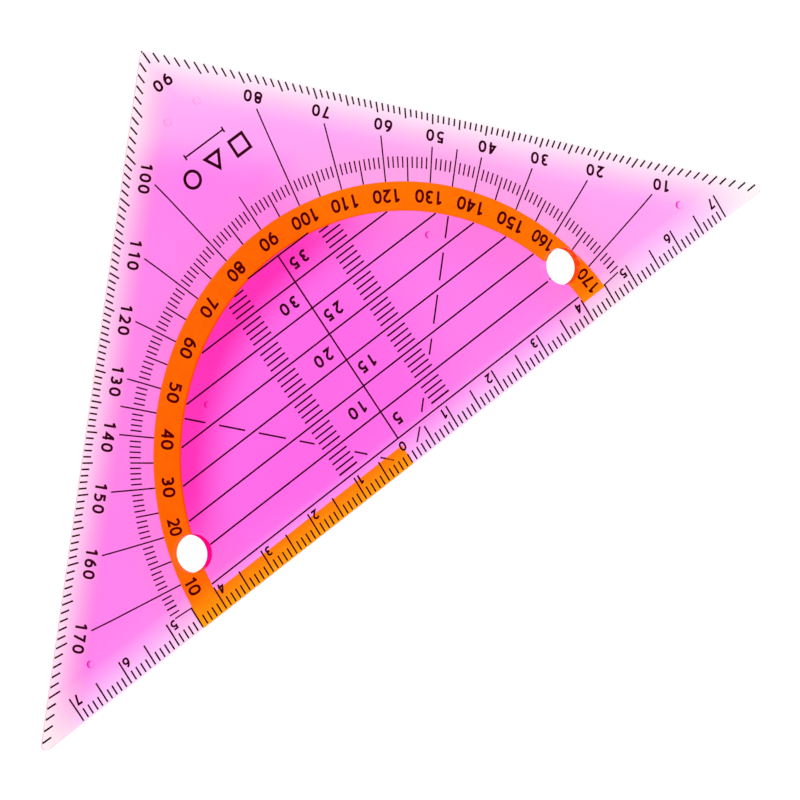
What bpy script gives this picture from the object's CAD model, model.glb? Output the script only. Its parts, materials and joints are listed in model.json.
"""A clear pink set square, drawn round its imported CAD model. Metres, in the model's own frame.

The plate is rebuilt here with softened edges and its own tint. The printed marks are the CAD's own
solids, with ink materials.
"""
import json
import math

import bmesh
import bpy
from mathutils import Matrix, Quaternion, Vector


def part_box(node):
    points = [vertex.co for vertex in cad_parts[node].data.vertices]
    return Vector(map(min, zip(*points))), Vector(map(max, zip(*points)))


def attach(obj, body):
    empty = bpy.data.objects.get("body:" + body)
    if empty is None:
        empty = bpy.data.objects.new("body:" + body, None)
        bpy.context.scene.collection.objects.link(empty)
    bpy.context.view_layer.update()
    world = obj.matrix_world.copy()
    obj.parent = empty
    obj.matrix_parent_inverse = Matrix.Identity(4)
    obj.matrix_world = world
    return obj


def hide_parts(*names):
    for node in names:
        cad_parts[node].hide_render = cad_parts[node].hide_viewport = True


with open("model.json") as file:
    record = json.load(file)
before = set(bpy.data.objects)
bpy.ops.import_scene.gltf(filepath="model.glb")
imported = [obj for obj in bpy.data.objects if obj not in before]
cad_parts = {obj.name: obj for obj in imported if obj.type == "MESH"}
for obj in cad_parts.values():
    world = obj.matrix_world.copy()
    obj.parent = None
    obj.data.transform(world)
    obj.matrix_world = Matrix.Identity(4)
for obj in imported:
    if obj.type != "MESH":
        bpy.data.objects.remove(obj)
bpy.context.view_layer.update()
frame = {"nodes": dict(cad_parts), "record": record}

MM = 0.001

# ---- What the frame says ----

mounts = {m["name"]: m for m in frame["record"]["mounts"]}
plate_low, plate_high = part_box("plate")
ink_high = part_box("parallel_lines")[1]
band_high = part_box("protractor_band")[1]

FRONT_Z = plate_high.z
REAR_Z = ink_high.z              # the print's top face lies on the plate's rear face
NUB_Z = plate_low.z
EDGE_T = 2 * (mounts["drawing_edge"]["pos_m"][2] - REAR_Z)
HOLES = [Vector(mounts[f"handle_hole_{side}"]["pos_m"]) for side in ("left", "right")]
HOLE_R = mounts["handle_hole_left"]["dims"]["r_mm"] * MM
HALF_EDGE = 2 * mounts["leg_edge_right"]["pos_m"][0]

# ---- The moulding's own details ----

EDGE_BEVEL_W = 5.9 * MM
LEG_BEVEL_W = 5.5 * MM
LEG_BLEND = 0.6 * MM             # the legs' bevels run smoothly into the face within this much height
EDGE_BLEND = 0.1 * MM            # the drawing edge's bevel has a much firmer ridge
TIP_R = 0.8 * MM
APEX_R = 1.5 * MM
EDGE_SOFTENING = 0.07 * MM       # radius of the moulded outer corners
SOFT_CORNER = math.radians(35)   # a sharper turn than this is softened
SHADED_FLAT = math.radians(20)   # a sharper turn than this is shaded as an edge
INK_BOND = 0.005 * MM            # how far the print is sunk into the plate's rear face
FLOOR_GAP = 0.02 * MM            # keeps the nubs' tips off the floor
NUB_R = 0.6 * MM
NUB_PLACES = ((63.9, 6.55), (23.8, 27.9), (3.0, 67.5))
NUBS = [(side * x * MM, y * MM) for side in (-1, 1) for x, y in NUB_PLACES]
BAND_R_OUT = band_high.y
BAND_R_IN = 40.3 * MM
BAND_FADE = 0.3 * MM             # how softly the tint changes at the band's inner edge

SIGHT_LEAN = Vector((-0.27, 0.135))      # how far the camera's line leans in the plate, per unit of height

# ---- Mesh helpers ----


def collection_add(obj):
    bpy.context.scene.collection.objects.link(obj)
    return obj


def new_object(name, bm):
    """Turns a bmesh into an object of that name."""
    mesh = bpy.data.meshes.new(name)
    bmesh.ops.recalc_face_normals(bm, faces=bm.faces)
    bm.to_mesh(mesh)
    bm.free()
    return collection_add(bpy.data.objects.new(name, mesh))


def arc(centre, radius, start, end, steps):
    """Points along an arc, from one angle to another in degrees."""
    turns = [math.radians(start + (end - start) * i / steps) for i in range(steps + 1)]
    return [(centre[0] + radius * math.cos(t), centre[1] + radius * math.sin(t)) for t in turns]


def prism(points, low, high):
    """A closed prism over a polygon."""
    bm = bmesh.new()
    bottom = bm.faces.new([bm.verts.new((x, y, low)) for x, y in points])
    top = bmesh.ops.extrude_face_region(bm, geom=[bottom])
    raised = [v for v in top["geom"] if isinstance(v, bmesh.types.BMVert)]
    bmesh.ops.translate(bm, verts=raised, vec=(0, 0, high - low))
    bmesh.ops.recalc_face_normals(bm, faces=bm.faces)
    return bm


def score(bm, point, normal):
    """Splits the faces that a plane crosses, without moving anything."""
    everything = bm.verts[:] + bm.edges[:] + bm.faces[:]
    bmesh.ops.bisect_plane(bm, geom=everything, plane_co=point, plane_no=normal)


def combine(target, operation, cutter):
    """Applies one boolean with a cutter, which is used up."""
    modifier = target.modifiers.new(operation, "BOOLEAN")
    modifier.operation = operation
    modifier.solver = "EXACT"
    modifier.object = cutter
    bake_modifiers(target)
    bpy.data.objects.remove(cutter)


def bake_modifiers(obj):
    """Applies an object's modifiers to its mesh."""
    depsgraph = bpy.context.evaluated_depsgraph_get()
    mesh = bpy.data.meshes.new_from_object(obj.evaluated_get(depsgraph), depsgraph=depsgraph)
    obj.modifiers.clear()
    obj.data = mesh


# ---- Plate ----


def plate_outline():
    """The outline, anticlockwise from the right-hand sharp corner."""
    steps = 18
    tip = (HALF_EDGE - TIP_R / math.tan(math.radians(22.5)), TIP_R)
    apex = (0, HALF_EDGE - APEX_R * math.sqrt(2))
    right = arc(tip, TIP_R, -90, 45, steps)
    top = arc(apex, APEX_R, 45, 135, steps)
    left = arc((-tip[0], tip[1]), TIP_R, 135, 270, steps)
    return right + top + left


def smooth_lower(first, second, blend):
    """The lower of two heights, with the crease between them rounded."""
    overlap = max(blend - abs(first - second), 0.0)
    return min(first, second) - overlap * overlap / (4 * blend)


def front_height(x, y):
    """The height of the plate's front at a place, with its three bevels."""
    drop = FRONT_Z - REAR_Z - EDGE_T
    low = REAR_Z + EDGE_T
    height = FRONT_Z
    for side in (-1, 1):
        to_leg = (HALF_EDGE - side * x - y) * math.sqrt(0.5)
        height = smooth_lower(height, low + drop * to_leg / LEG_BEVEL_W, LEG_BLEND)
    return smooth_lower(height, low + drop * y / EDGE_BEVEL_W, EDGE_BLEND)


def score_bevels(bm):
    """Lines along the three edges, close enough to carry the bevels' curves."""
    for i in range(1, 24):
        for side in (-1, 1):
            outward = Vector((side, 1, 0)).normalized()
            score(bm, outward * (HALF_EDGE * math.sqrt(0.5) - 0.4 * MM * i), outward)
    for i in range(-4, 5):
        score(bm, Vector((0, EDGE_BEVEL_W + 0.2 * MM * i, 0)), Vector((0, 1, 0)))


def on_rear_rim(point):
    """Whether a place is on the rear rim of a hole, where the print ends."""
    near_hole = any((point.xy - hole.xy).length < 1.1 * HOLE_R for hole in HOLES)
    return near_hole and point.z < REAR_Z


def weigh_edges(obj):
    """Marks the corners to soften: the outer ones, but not the holes' rear rims."""
    bm = bmesh.new()
    bm.from_mesh(obj.data)
    weight = bm.edges.layers.float.new("bevel_weight_edge")
    for edge in bm.edges:
        corner = edge.is_convex and edge.calc_face_angle(0.0) > SOFT_CORNER
        edge[weight] = 1.0 if corner and not on_rear_rim(edge.verts[0].co) else 0.0
    bm.to_mesh(obj.data)
    bm.free()


def build_plate():
    """The moulded plate: bevelled, bored, with nubs behind and its outer edges softened."""
    bm = prism(plate_outline(), REAR_Z - INK_BOND, FRONT_Z)
    score_bevels(bm)
    for vert in bm.verts:
        if vert.co.z > REAR_Z:
            vert.co.z = front_height(vert.co.x, vert.co.y)
    plate = new_object("plate_clear", bm)
    hole_segments = 96
    nub_segments = 32
    for hole in HOLES:
        circle = arc(hole, HOLE_R, 0, 360, hole_segments)[:-1]
        combine(plate, "DIFFERENCE", new_object("bore", prism(circle, NUB_Z - FRONT_Z, 2 * FRONT_Z)))
    for nub in NUBS:
        circle = arc(nub, NUB_R, 0, 360, nub_segments)[:-1]
        middle = (REAR_Z + FRONT_Z) / 2
        combine(plate, "UNION", new_object("nub", prism(circle, NUB_Z, middle)))
    plate.data.set_sharp_from_angle(angle=SHADED_FLAT)
    for polygon in plate.data.polygons:
        polygon.use_smooth = True
    weigh_edges(plate)
    soften = plate.modifiers.new("soft edges", "BEVEL")
    soften.width = EDGE_SOFTENING
    soften.segments = 3
    soften.limit_method = "WEIGHT"
    soften.harden_normals = True
    bake_modifiers(plate)
    return plate


# ---- Node helpers ----


def blank_material(name):
    """A new node material and its tree, holding only the output."""
    material = bpy.data.materials.new(name)
    material.use_nodes = True
    tree = material.node_tree
    tree.nodes.clear()
    return material, tree, tree.nodes.new("ShaderNodeOutputMaterial")


def plug(tree, socket, value):
    """Links a socket to another node's output, or sets it to a plain value."""
    if isinstance(value, bpy.types.NodeSocket):
        tree.links.new(value, socket)
    else:
        socket.default_value = value


def maths(tree, operation, *values, clamp=False):
    node = tree.nodes.new("ShaderNodeMath")
    node.operation = operation
    node.use_clamp = clamp
    for socket, value in zip(node.inputs, values):
        plug(tree, socket, value)
    return node.outputs[0]


def ramp(tree, value, start, end, low=0.0, high=1.0, kind="SMOOTHSTEP"):
    """Goes from low to high while the value goes from start to end."""
    node = tree.nodes.new("ShaderNodeMapRange")
    node.interpolation_type = kind
    for socket, item in zip(node.inputs, (value, start, end, low, high)):
        plug(tree, socket, item)
    return node.outputs[0]


def power_colour(tree, colour, exponent):
    """The colour that a dye leaves after the given depth of it."""
    node = tree.nodes.new("ShaderNodeGamma")
    plug(tree, node.inputs["Color"], colour)
    plug(tree, node.inputs["Gamma"], exponent)
    return node.outputs[0]


def multiply_colours(tree, first, second):
    node = tree.nodes.new("ShaderNodeMix")
    node.data_type = "RGBA"
    node.blend_type = "MULTIPLY"
    node.inputs[0].default_value = 1.0
    plug(tree, node.inputs[6], first)
    plug(tree, node.inputs[7], second)
    return node.outputs[2]


def blend_colours(tree, factor, first, second):
    node = tree.nodes.new("ShaderNodeMix")
    node.data_type = "RGBA"
    for socket, item in zip((node.inputs[0], node.inputs[6], node.inputs[7]), (factor, first, second)):
        plug(tree, socket, item)
    return node.outputs[2]


def place(tree):
    """The place on the object, and its X, Y and Z in metres."""
    coordinates = tree.nodes.new("ShaderNodeTexCoord").outputs["Object"]
    split = tree.nodes.new("ShaderNodeSeparateXYZ")
    tree.links.new(coordinates, split.inputs[0])
    x, y, z = split.outputs
    return coordinates, x, y, z


def noise(tree, coordinates, size, detail=3.0):
    """Noise whose grain is about the given size, in metres."""
    node = tree.nodes.new("ShaderNodeTexNoise")
    node.inputs["Scale"].default_value = 1 / size
    node.inputs["Detail"].default_value = detail
    tree.links.new(coordinates, node.inputs["Vector"])
    return node.outputs["Fac"]


def distance_from(tree, x, y, centre):
    dx = maths(tree, "SUBTRACT", x, centre[0])
    dy = maths(tree, "SUBTRACT", y, centre[1])
    squares = maths(tree, "ADD", maths(tree, "MULTIPLY", dx, dx), maths(tree, "MULTIPLY", dy, dy))
    return maths(tree, "SQRT", squares)


def bump(tree, height, depth, strength=1.0):
    node = tree.nodes.new("ShaderNodeBump")
    node.inputs["Strength"].default_value = strength
    node.inputs["Distance"].default_value = depth
    tree.links.new(height, node.inputs["Height"])
    return node.outputs["Normal"]


def mix_shaders(tree, factor, first, second):
    node = tree.nodes.new("ShaderNodeMixShader")
    for socket, item in zip(node.inputs, (factor, first, second)):
        plug(tree, socket, item)
    return node.outputs[0]


# ---- Materials ----

ACRYLIC_IOR = 1.49
DYE = (1.0, 0.368, 0.878, 1.0)           # what one depth of the dye lets through
BAND_SHADE = (1.0, 0.247, 0.684, 1.0)    # the deeper pink beside the opaque band
WARMTH = (1.0, 0.98, 0.9, 1.0)           # the band's orange, spread thinly through the plate
WALL_PINK = (1.0, 0.001, 0.19, 1.0)      # the dye's glow in the holes' walls
WALL_RED = (1.0, 0.06, 0.004, 1.0)       # the same where the orange band shows through
TRAPPED_PINK = (1.0, 0.3, 0.75, 1.0)     # the dye's glow where light is caught between the faces
MOST_TURNS = 3                           # how often light turns in the plate before it is caught
NUB_PINK = (0.5, 0.004, 0.2, 1.0)        # the dye's glow in the nubs' walls
RIM_PINK = (1.0, 0.5, 0.62, 1.0)         # the dye's glow in the outline's thin walls
NUB_DEPTH = 3.5                          # extra depths of dye in a nub's lit side
INK_DARK = (0.03, 0.0002, 0.008, 1.0)
INK_DARK_AT_EDGE = (0.005, 0.0001, 0.002, 1.0)
INK_ON_ORANGE = (0.075, 0.0005, 0.001, 1.0)
INK_ORANGE = (1.0, 0.25, 0.0005, 1.0)
INK_ORANGE_AT_EDGE = (1.0, 0.42, 0.004, 1.0)


def leg_distance(tree, x, y):
    """How far a place is from the nearer leg."""
    across = maths(tree, "ADD", maths(tree, "ABSOLUTE", x), y)
    return maths(tree, "MULTIPLY", maths(tree, "SUBTRACT", HALF_EDGE, across), math.sqrt(0.5))


def dye_depth(tree, x, y, inside):
    """How deep the dye looks at a place: thin at the edges, and deepest inside the band."""
    to_leg = leg_distance(tree, x, y)
    right_bevel = ramp(tree, to_leg, 0.0, 6.6 * MM, 0.11, 0.93, "LINEAR")
    right_fade = maths(tree, "ADD", right_bevel, ramp(tree, to_leg, 6 * MM, 9 * MM, 0.0, 0.09))
    left_fade = ramp(tree, to_leg, 0.0, 5.5 * MM, 0.19, 1.04, "LINEAR")
    on_right = ramp(tree, x, -4 * MM, 2 * MM)
    leg_fade = ramp(tree, on_right, 0.0, 1.0, left_fade, right_fade, "LINEAR")

    edge_bevel = ramp(tree, y, 0.0, EDGE_BEVEL_W, 0.26, 0.88, "LINEAR")
    ridge = ramp(tree, y, EDGE_BEVEL_W - 0.1 * MM, EDGE_BEVEL_W + 0.2 * MM, 0.0, 0.09)
    past_ridge = ramp(tree, y, EDGE_BEVEL_W, 10 * MM, 0.0, 0.04)
    edge_fade = maths(tree, "ADD", edge_bevel, maths(tree, "ADD", ridge, past_ridge))

    past_middle = maths(tree, "MAXIMUM", maths(tree, "SUBTRACT", y, 52 * MM), 0.0)
    from_light = maths(tree, "MULTIPLY_ADD", past_middle, 1.2, x)
    outer = ramp(tree, from_light, 2 * MM, 14 * MM, 1.34, 0.95)
    outer = maths(tree, "MULTIPLY", outer, ramp(tree, y, 56 * MM, 72 * MM, 1.0, 0.88))
    inner = ramp(tree, x, 2 * MM, 20 * MM, 1.77, 1.47)
    inner = maths(tree, "MULTIPLY", inner, ramp(tree, x, -30 * MM, -8 * MM, 0.95, 1.0))
    more = maths(tree, "MULTIPLY", inside, maths(tree, "SUBTRACT", inner, outer))
    full = maths(tree, "ADD", outer, more)
    return maths(tree, "MULTIPLY", full, maths(tree, "MULTIPLY", leg_fade, edge_fade))


def band_shade_depth(tree, x, y, inside):
    """The band shades the plastic beside it, on the side away from the light."""
    away = distance_from(tree, x, y, (3 * MM, -6 * MM))
    near_band = ramp(tree, away, 37 * MM, 44.5 * MM, 0.0, 1.0, "LINEAR")
    near_band = maths(tree, "MULTIPLY", near_band, near_band)
    left = ramp(tree, x, -3 * MM, 22 * MM, 1.0, 0.0)
    upper_left = maths(tree, "MULTIPLY", left, ramp(tree, y, 6 * MM, 20 * MM))
    return maths(tree, "MULTIPLY", inside, maths(tree, "MULTIPLY", near_band, upper_left))


def warm_depth(tree, x, y):
    """The plastic looks warmer beside the band, and along the legs on the side facing the light."""
    from_band = maths(tree, "SUBTRACT", distance_from(tree, x, y, (0, 0)), (BAND_R_IN + BAND_R_OUT) / 2)
    by_band = ramp(tree, maths(tree, "ABSOLUTE", from_band), 3 * MM, 12 * MM, 1.0, 0.0)
    by_leg = ramp(tree, leg_distance(tree, x, y), 3 * MM, 7 * MM, 1.0, 0.0)
    lit_leg = ramp(tree, x, -4 * MM, 2 * MM, 1.2, 0.6)
    return maths(tree, "MULTIPLY_ADD", by_leg, lit_leg, by_band)


def glass(tree, colour, roughness):
    body = tree.nodes.new("ShaderNodeBsdfPrincipled")
    body.inputs["IOR"].default_value = ACRYLIC_IOR
    body.inputs["Transmission Weight"].default_value = 1.0
    plug(tree, body.inputs["Base Color"], colour)
    plug(tree, body.inputs["Roughness"], roughness)
    return body.outputs[0]


def let_light_pass(tree, output, surface, colour):
    """Lamps and diffuse light pass straight, so that the piece casts almost no shadow."""
    straight = tree.nodes.new("ShaderNodeBsdfTransparent")
    plug(tree, straight.inputs["Color"], colour)
    rays = tree.nodes.new("ShaderNodeLightPath")
    passes = maths(tree, "MAXIMUM", rays.outputs["Is Shadow Ray"], rays.outputs["Is Diffuse Ray"])
    surface = mix_shaders(tree, passes, surface, straight.outputs[0])
    tree.links.new(surface, output.inputs["Surface"])


def catch_light(tree, surface):
    """Light that keeps turning back between the faces ends in the dye, which glows with it."""
    glow = tree.nodes.new("ShaderNodeEmission")
    glow.inputs["Color"].default_value = TRAPPED_PINK
    turns = tree.nodes.new("ShaderNodeLightPath").outputs["Ray Depth"]
    caught = maths(tree, "GREATER_THAN", turns, MOST_TURNS + 0.5)
    return mix_shaders(tree, caught, surface, glow.outputs[0])


def nub_glow(tree, x, y, z):
    """Marks the side of each nub that faces the light, where the dye glows."""
    total = 0.0
    for nub in NUBS:
        in_nub = ramp(tree, distance_from(tree, x, y, nub), NUB_R, NUB_R + 0.05 * MM, 1.0, 0.0)
        shaded = (nub[0] + 0.3 * MM, nub[1] - 0.3 * MM)
        crescent = ramp(tree, distance_from(tree, x, y, shaded), 0.55 * MM, 0.8 * MM)
        total = maths(tree, "ADD", total, maths(tree, "MULTIPLY", in_nub, crescent))
    total = maths(tree, "MULTIPLY", total, ramp(tree, y, 40 * MM, 60 * MM, 1.0, 0.0))
    return maths(tree, "MULTIPLY", total, ramp(tree, z, REAR_Z - 0.02 * MM, REAR_Z, 1.0, 0.0))


def band_radius(tree, x, y, z):
    """The distance from the protractor's centre, leaning along the camera's line through the plate."""
    leaning_x = maths(tree, "MULTIPLY_ADD", z, -SIGHT_LEAN.x, x)
    leaning_y = maths(tree, "MULTIPLY_ADD", z, -SIGHT_LEAN.y, y)
    return distance_from(tree, leaning_x, leaning_y, (0, 0))


def clear_plastic():
    """The plate's faces: clear fluorescent pink."""
    material, tree, output = blank_material("clear_pink_plastic")
    coordinates, x, y, z = place(tree)
    radius = band_radius(tree, x, y, z)
    inside = ramp(tree, radius, BAND_R_IN, BAND_R_IN + BAND_FADE, 1.0, 0.0)
    cloud = ramp(tree, noise(tree, coordinates, 30 * MM, 1.0), 0.3, 0.7, 0.97, 1.03)
    depth = maths(tree, "MULTIPLY", dye_depth(tree, x, y, inside), cloud)
    depth = maths(tree, "MULTIPLY_ADD", nub_glow(tree, x, y, z), NUB_DEPTH, depth)
    shade = power_colour(tree, BAND_SHADE, band_shade_depth(tree, x, y, inside))
    shade = multiply_colours(tree, shade, power_colour(tree, WARMTH, warm_depth(tree, x, y)))
    tint = multiply_colours(tree, power_colour(tree, DYE, depth), shade)
    wear = ramp(tree, noise(tree, coordinates, 4 * MM), 0.45, 0.8, 0.0, 0.012)
    surface = catch_light(tree, glass(tree, tint, wear))
    let_light_pass(tree, output, surface, power_colour(tree, tint, 0.03))
    return material


def wall_plastic():
    """The walls of the holes and nubs, and the outline's narrow walls, where the dye glows."""
    material, tree, output = blank_material("clear_pink_wall")
    coordinates, x, y, _ = place(tree)
    radius = distance_from(tree, x, y, (0, 0))
    past_inner = ramp(tree, radius, BAND_R_IN - BAND_FADE, BAND_R_IN + BAND_FADE)
    before_outer = ramp(tree, radius, BAND_R_OUT, BAND_R_OUT + 0.5 * MM, 1.0, 0.0)
    on_band = maths(tree, "MULTIPLY", past_inner, before_outer)
    colour = blend_colours(tree, on_band, WALL_PINK, WALL_RED)
    nub_colour = blend_colours(tree, ramp(tree, y, 40 * MM, 60 * MM), NUB_PINK, RIM_PINK)
    from_hole = [distance_from(tree, x, y, hole) for hole in HOLES]
    on_nub = ramp(tree, maths(tree, "MINIMUM", *from_hole), 1.2 * HOLE_R, 1.5 * HOLE_R)
    colour = blend_colours(tree, on_nub, colour, nub_colour)
    to_outline = maths(tree, "MINIMUM", y, leg_distance(tree, x, y))
    colour = blend_colours(tree, ramp(tree, to_outline, 1 * MM, 3 * MM, 1.0, 0.0), colour, RIM_PINK)
    grain = ramp(tree, noise(tree, coordinates, 0.6 * MM), 0.3, 0.7, 0.8, 1.2)
    glow = tree.nodes.new("ShaderNodeBsdfDiffuse")
    plug(tree, glow.inputs["Color"], power_colour(tree, colour, grain))
    from_within = tree.nodes.new("ShaderNodeNewGeometry").outputs["Backfacing"]
    clear = glass(tree, (1, 1, 1, 1), 0.0)
    let_light_pass(tree, output, mix_shaders(tree, from_within, glow.outputs[0], clear), (1, 1, 1, 1))
    return material


def ink(name, colour, edge_colour, roughness, mottling):
    """Screen-printed ink: bonded to the plate in front, and satin behind.

    It turns to its edge colour towards the drawing edge, where the plastic over it is thin.
    """
    material, tree, output = blank_material(name)
    coordinates, _, y, _ = place(tree)
    at_edge = ramp(tree, y, 0.0, EDGE_BEVEL_W, 1.0, 0.0, "LINEAR")
    colour = blend_colours(tree, at_edge, colour, edge_colour)
    patches = ramp(tree, noise(tree, coordinates, 1.5 * MM), 0.3, 0.7, 1 - mottling, 1 + mottling)
    body = tree.nodes.new("ShaderNodeBsdfPrincipled")
    plug(tree, body.inputs["Base Color"], power_colour(tree, colour, patches))
    grain = noise(tree, coordinates, 0.06 * MM, 2.0)
    plug(tree, body.inputs["Roughness"], ramp(tree, grain, 0.3, 0.7, roughness - 0.08, roughness + 0.08))
    plug(tree, body.inputs["Normal"], bump(tree, grain, 0.002 * MM, 0.3))
    normal = tree.nodes.new("ShaderNodeSeparateXYZ")
    tree.links.new(tree.nodes.new("ShaderNodeNewGeometry").outputs["Normal"], normal.inputs[0])
    plug(tree, body.inputs["Specular IOR Level"], ramp(tree, normal.outputs[2], -0.5, 0.5, 0.5, 0.0))
    let_light_pass(tree, output, body.outputs[0], (1, 1, 1, 1))
    return material


def floor_material():
    """A matt white sheet with a barely visible grain."""
    material, tree, output = blank_material("floor_white")
    coordinates, _, _, _ = place(tree)
    body = tree.nodes.new("ShaderNodeBsdfDiffuse")
    tone = ramp(tree, noise(tree, coordinates, 40 * MM), 0.3, 0.7, 0.93, 0.95)
    plug(tree, body.inputs["Color"], tone)
    tree.links.new(body.outputs[0], output.inputs["Surface"])
    return material


# ---- The object ----


def dress_print():
    """Gives every printed CAD node its ink. The band's numbers take some of its orange."""
    dark = ink("dark_ink", INK_DARK, INK_DARK_AT_EDGE, 0.5, 0.12)
    on_orange = ink("dark_ink_on_orange", INK_ON_ORANGE, INK_ON_ORANGE, 0.5, 0.12)
    orange = ink("orange_ink", INK_ORANGE, INK_ORANGE_AT_EDGE, 0.55, 0.04)
    inks = {"protractor_band": orange, "ruler_strip": orange, "band_numerals": on_orange}
    for name, node in frame["nodes"].items():
        if name == "plate":
            continue
        node.data.materials.clear()
        node.data.materials.append(inks.get(name, dark))


def dress_plate(plate):
    """Gives the plate's walls their own material."""
    plate.data.materials.clear()
    plate.data.materials.append(clear_plastic())
    plate.data.materials.append(wall_plastic())
    for polygon in plate.data.polygons:
        polygon.material_index = 1 if abs(polygon.normal.z) < 0.5 else 0


plate = build_plate()
dress_plate(plate)
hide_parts("plate")
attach(plate, "root")
dress_print()

# ---- Stage ----

FLOOR_SIZE = 60.0


def build_floor():
    """A wide level floor at the nubs' tips."""
    half = FLOOR_SIZE / 2
    bm = bmesh.new()
    corners = [(-half, -half), (half, -half), (half, half), (-half, half)]
    bm.faces.new([bm.verts.new((x, y, NUB_Z - FLOOR_GAP)) for x, y in corners])
    floor = new_object("floor", bm)
    floor.data.materials.append(floor_material())


def softbox(name, place_at, size, power):
    """A square lamp that faces the object."""
    data = bpy.data.lights.new(name, "AREA")
    data.size = size
    data.energy = power
    lamp = collection_add(bpy.data.objects.new(name, data))
    lamp.location = place_at
    lamp.rotation_mode = "QUATERNION"
    lamp.rotation_quaternion = (-Vector(place_at)).to_track_quat("-Z", "Y")


def direction(azimuth, elevation):
    """The unit vector towards a place in the sky; azimuth turns from +X to +Y."""
    a, e = math.radians(azimuth), math.radians(elevation)
    return Vector((math.cos(a) * math.cos(e), math.sin(a) * math.cos(e), math.sin(e)))


KEY_PLACE = (-0.9, 1.1, 1.6)
KEY_SIZE = 1.2
KEY_POWER = 13
CAMERA_AZIMUTH = 153.36
CAMERA_ELEVATION = 64.67
CAMERA_ROLL = 81.09
CAMERA_DISTANCE = 1.0753
CAMERA_LENS = 304.7
CAMERA_TARGET = Vector((3.93 * MM, 9.56 * MM, 0.96 * MM))


def build_world():
    """A white sky. Dark flags take the glare off the plate, as seen by the camera."""
    world = bpy.data.worlds.new("studio")
    bpy.context.scene.world = world
    world.use_nodes = True
    tree = world.node_tree
    tree.nodes.clear()
    sky = tree.nodes.new("ShaderNodeBackground")
    output = tree.nodes.new("ShaderNodeOutputWorld")
    mirror = direction(CAMERA_AZIMUTH + 180, CAMERA_ELEVATION)
    towards = tree.nodes.new("ShaderNodeVectorMath")
    towards.operation = "DOT_PRODUCT"
    tree.links.new(tree.nodes.new("ShaderNodeTexCoord").outputs["Generated"], towards.inputs[0])
    towards.inputs[1].default_value = mirror
    nearness = towards.outputs["Value"]
    wide_flag = ramp(tree, nearness, 0.55, 0.95, 0.4, 0.02)
    narrow_flag = ramp(tree, nearness, 0.94, 0.99, 0.7, 0.02)
    rays = tree.nodes.new("ShaderNodeLightPath")
    strength = ramp(tree, rays.outputs["Is Glossy Ray"], 0.0, 1.0, 1.0, wide_flag, "LINEAR")
    strength = ramp(tree, rays.outputs["Is Transmission Ray"], 0.0, 1.0, strength, narrow_flag, "LINEAR")
    plug(tree, sky.inputs["Strength"], strength)
    sky.inputs["Color"].default_value = (1, 1, 1, 1)
    tree.links.new(sky.outputs[0], output.inputs["Surface"])


def build_camera():
    data = bpy.data.cameras.new("camera")
    data.lens = CAMERA_LENS
    data.clip_start = 0.01
    data.clip_end = 100
    camera = collection_add(bpy.data.objects.new("camera", data))
    back = direction(CAMERA_AZIMUTH, CAMERA_ELEVATION)
    camera.location = CAMERA_TARGET + back * CAMERA_DISTANCE
    camera.rotation_mode = "QUATERNION"
    upright = (-back).to_track_quat("-Z", "Y")
    camera.rotation_quaternion = upright @ Quaternion((0, 0, 1), math.radians(CAMERA_ROLL))
    bpy.context.scene.camera = camera


build_floor()
build_world()
softbox("key", KEY_PLACE, KEY_SIZE, KEY_POWER)
build_camera()
bpy.context.scene.view_settings.view_transform = "Standard"
